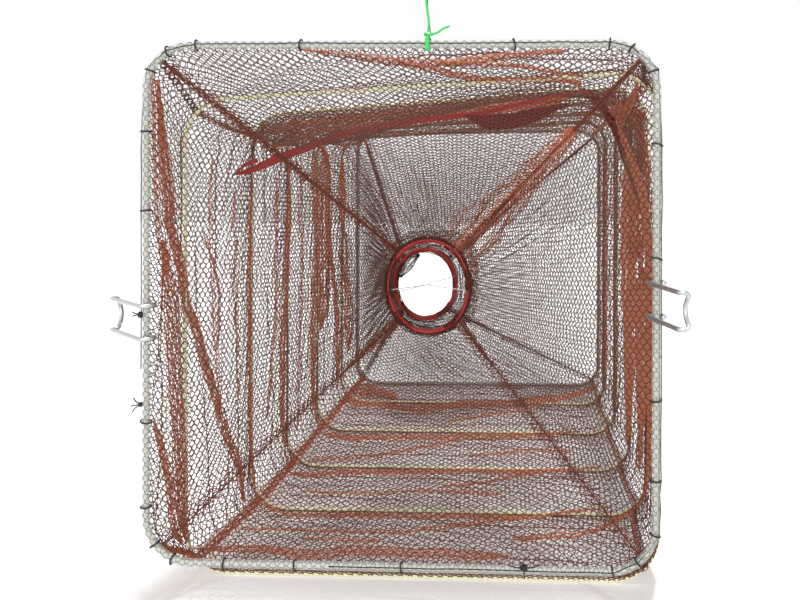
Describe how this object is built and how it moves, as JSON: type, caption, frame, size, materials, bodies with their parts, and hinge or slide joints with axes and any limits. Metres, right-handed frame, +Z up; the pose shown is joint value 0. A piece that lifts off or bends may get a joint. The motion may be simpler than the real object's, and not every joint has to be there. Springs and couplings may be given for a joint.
{
  "type": "folding bait trap",
  "caption": "Square folding bait trap: wire hoops joined by net walls, a net funnel and ring at each end, wire closing clips and a lift cord.",
  "frame": {"origin": "middle of the flat underside of hoop_2, the foremost hoop that touches the ground", "axes": "+Z up, +Y along the trap from the front mouth to the back one, so that the front mouth faces -Y"},
  "size_m": [0.2896, 0.4887, 0.3192],
  "materials": {
    "clear_sleeve": "milky clear soft PVC tube",
    "galvanised_wire": "bright galvanised steel wire",
    "coated_wire": "steel wire under a thin yellowish clear PVC coat",
    "brown_net": "rust brown knotless nylon netting",
    "seam_twine": "dark maroon gathered seam",
    "red_ring": "dark red plastic",
    "monofilament": "clear nylon line",
    "red_tape": "woven red binding tape",
    "green_cord": "bright green braided cord"
  },
  "bodies": {
    "front_frame": {"front_hoop_sleeve": "clear_sleeve", "front_hoop_wire": "galvanised_wire", "wall_net_1": "brown_net", "front_funnel_bottom": "brown_net", "front_funnel_right": "brown_net", "front_funnel_top": "brown_net", "front_funnel_left": "brown_net", "front_seam_bottom_left": "seam_twine", "front_seam_bottom_right": "seam_twine", "front_seam_top_right": "seam_twine", "front_seam_top_left": "seam_twine", "lift_cord_knot": "green_cord", "lift_cord": "green_cord", "lift_cord_tail": "green_cord", "lift_cord_end_knot": "green_cord"},
    "hoop_2": {"hoop_2": "coated_wire", "wall_net_2": "brown_net", "slit_tape": "red_tape"},
    "hoop_3": {"hoop_3": "coated_wire", "wall_net_3": "brown_net"},
    "hoop_4": {"hoop_4": "coated_wire", "wall_net_4": "brown_net"},
    "hoop_5": {"hoop_5": "coated_wire", "wall_net_5": "brown_net"},
    "hoop_6": {"hoop_6": "coated_wire", "wall_net_6": "brown_net"},
    "back_frame": {"back_hoop_sleeve": "clear_sleeve", "back_hoop_wire": "galvanised_wire", "back_funnel_bottom": "brown_net", "back_funnel_right": "brown_net", "back_funnel_top": "brown_net", "back_funnel_left": "brown_net", "back_seam_bottom_left": "seam_twine", "back_seam_bottom_right": "seam_twine", "back_seam_top_right": "seam_twine", "back_seam_top_left": "seam_twine"},
    "front_ring": {"front_ring": "red_ring", "front_bridle": "monofilament"},
    "back_ring": {"back_ring": "red_ring", "back_bridle": "monofilament"},
    "left_clip": {"left_clip": "galvanised_wire"},
    "right_clip": {"right_clip": "galvanised_wire"}
  },
  "joints": [
    {"name": "collapse", "type": "slide", "parent": "front_frame", "child": "back_frame", "axis": [-0.0301, -0.9988, 0.0376], "range_m": [0, 0.4215], "deforming": ["wall_net_1", "wall_net_2", "wall_net_3", "wall_net_4", "wall_net_5", "wall_net_6", "front_funnel_bottom", "front_funnel_right", "front_funnel_top", "front_funnel_left", "front_seam_bottom_left", "front_seam_bottom_right", "front_seam_top_right", "front_seam_top_left", "back_funnel_bottom", "back_funnel_right", "back_funnel_top", "back_funnel_left", "back_seam_bottom_left", "back_seam_bottom_right", "back_seam_top_right", "back_seam_top_left", "front_bridle", "back_bridle", "slit_tape"]},
    {"name": "hoop_2_slide", "type": "slide", "parent": "front_frame", "child": "hoop_2", "axis": [-0.1685, -0.8278, 0.5351], "range_m": [0, 0.03383]},
    {"name": "hoop_3_slide", "type": "slide", "parent": "front_frame", "child": "hoop_3", "axis": [-0.1137, -0.9813, 0.1553], "range_m": [0, 0.11169]},
    {"name": "hoop_4_slide", "type": "slide", "parent": "front_frame", "child": "hoop_4", "axis": [-0.0681, -0.9933, 0.0931], "range_m": [0, 0.18644]},
    {"name": "hoop_5_slide", "type": "slide", "parent": "front_frame", "child": "hoop_5", "axis": [-0.0469, -0.9968, 0.0641], "range_m": [0, 0.27066]},
    {"name": "hoop_6_slide", "type": "slide", "parent": "front_frame", "child": "hoop_6", "axis": [-0.0355, -0.9982, 0.0485], "range_m": [0, 0.35805]},
    {"name": "front_ring_slide", "type": "slide", "parent": "front_frame", "child": "front_ring", "axis": [0, -1, 0], "range_m": [0, 0.1215]},
    {"name": "back_ring_slide", "type": "slide", "parent": "front_frame", "child": "back_ring", "axis": [-0.0434, -0.9976, 0.0541], "range_m": [0, 0.29271]},
    {"name": "left_clip_hinge", "type": "hinge", "parent": "front_frame", "child": "left_clip", "pos_m": [-0.1286, -0.035, 0.1384], "axis": [0, 0, 1], "range_deg": [-46, 139]},
    {"name": "right_clip_hinge", "type": "hinge", "parent": "front_frame", "child": "right_clip", "pos_m": [0.1172, -0.035, 0.151], "axis": [0, 0, -1], "range_deg": [-167, 18]}
  ],
  "couplings": [
    {"joint": "hoop_2_slide", "follows": "collapse", "ratio": 0.080248},
    {"joint": "hoop_3_slide", "follows": "collapse", "ratio": 0.26498},
    {"joint": "hoop_4_slide", "follows": "collapse", "ratio": 0.44233},
    {"joint": "hoop_5_slide", "follows": "collapse", "ratio": 0.64212},
    {"joint": "hoop_6_slide", "follows": "collapse", "ratio": 0.84946},
    {"joint": "front_ring_slide", "follows": "collapse", "ratio": 0.28826},
    {"joint": "back_ring_slide", "follows": "collapse", "ratio": 0.69444}
  ]
}
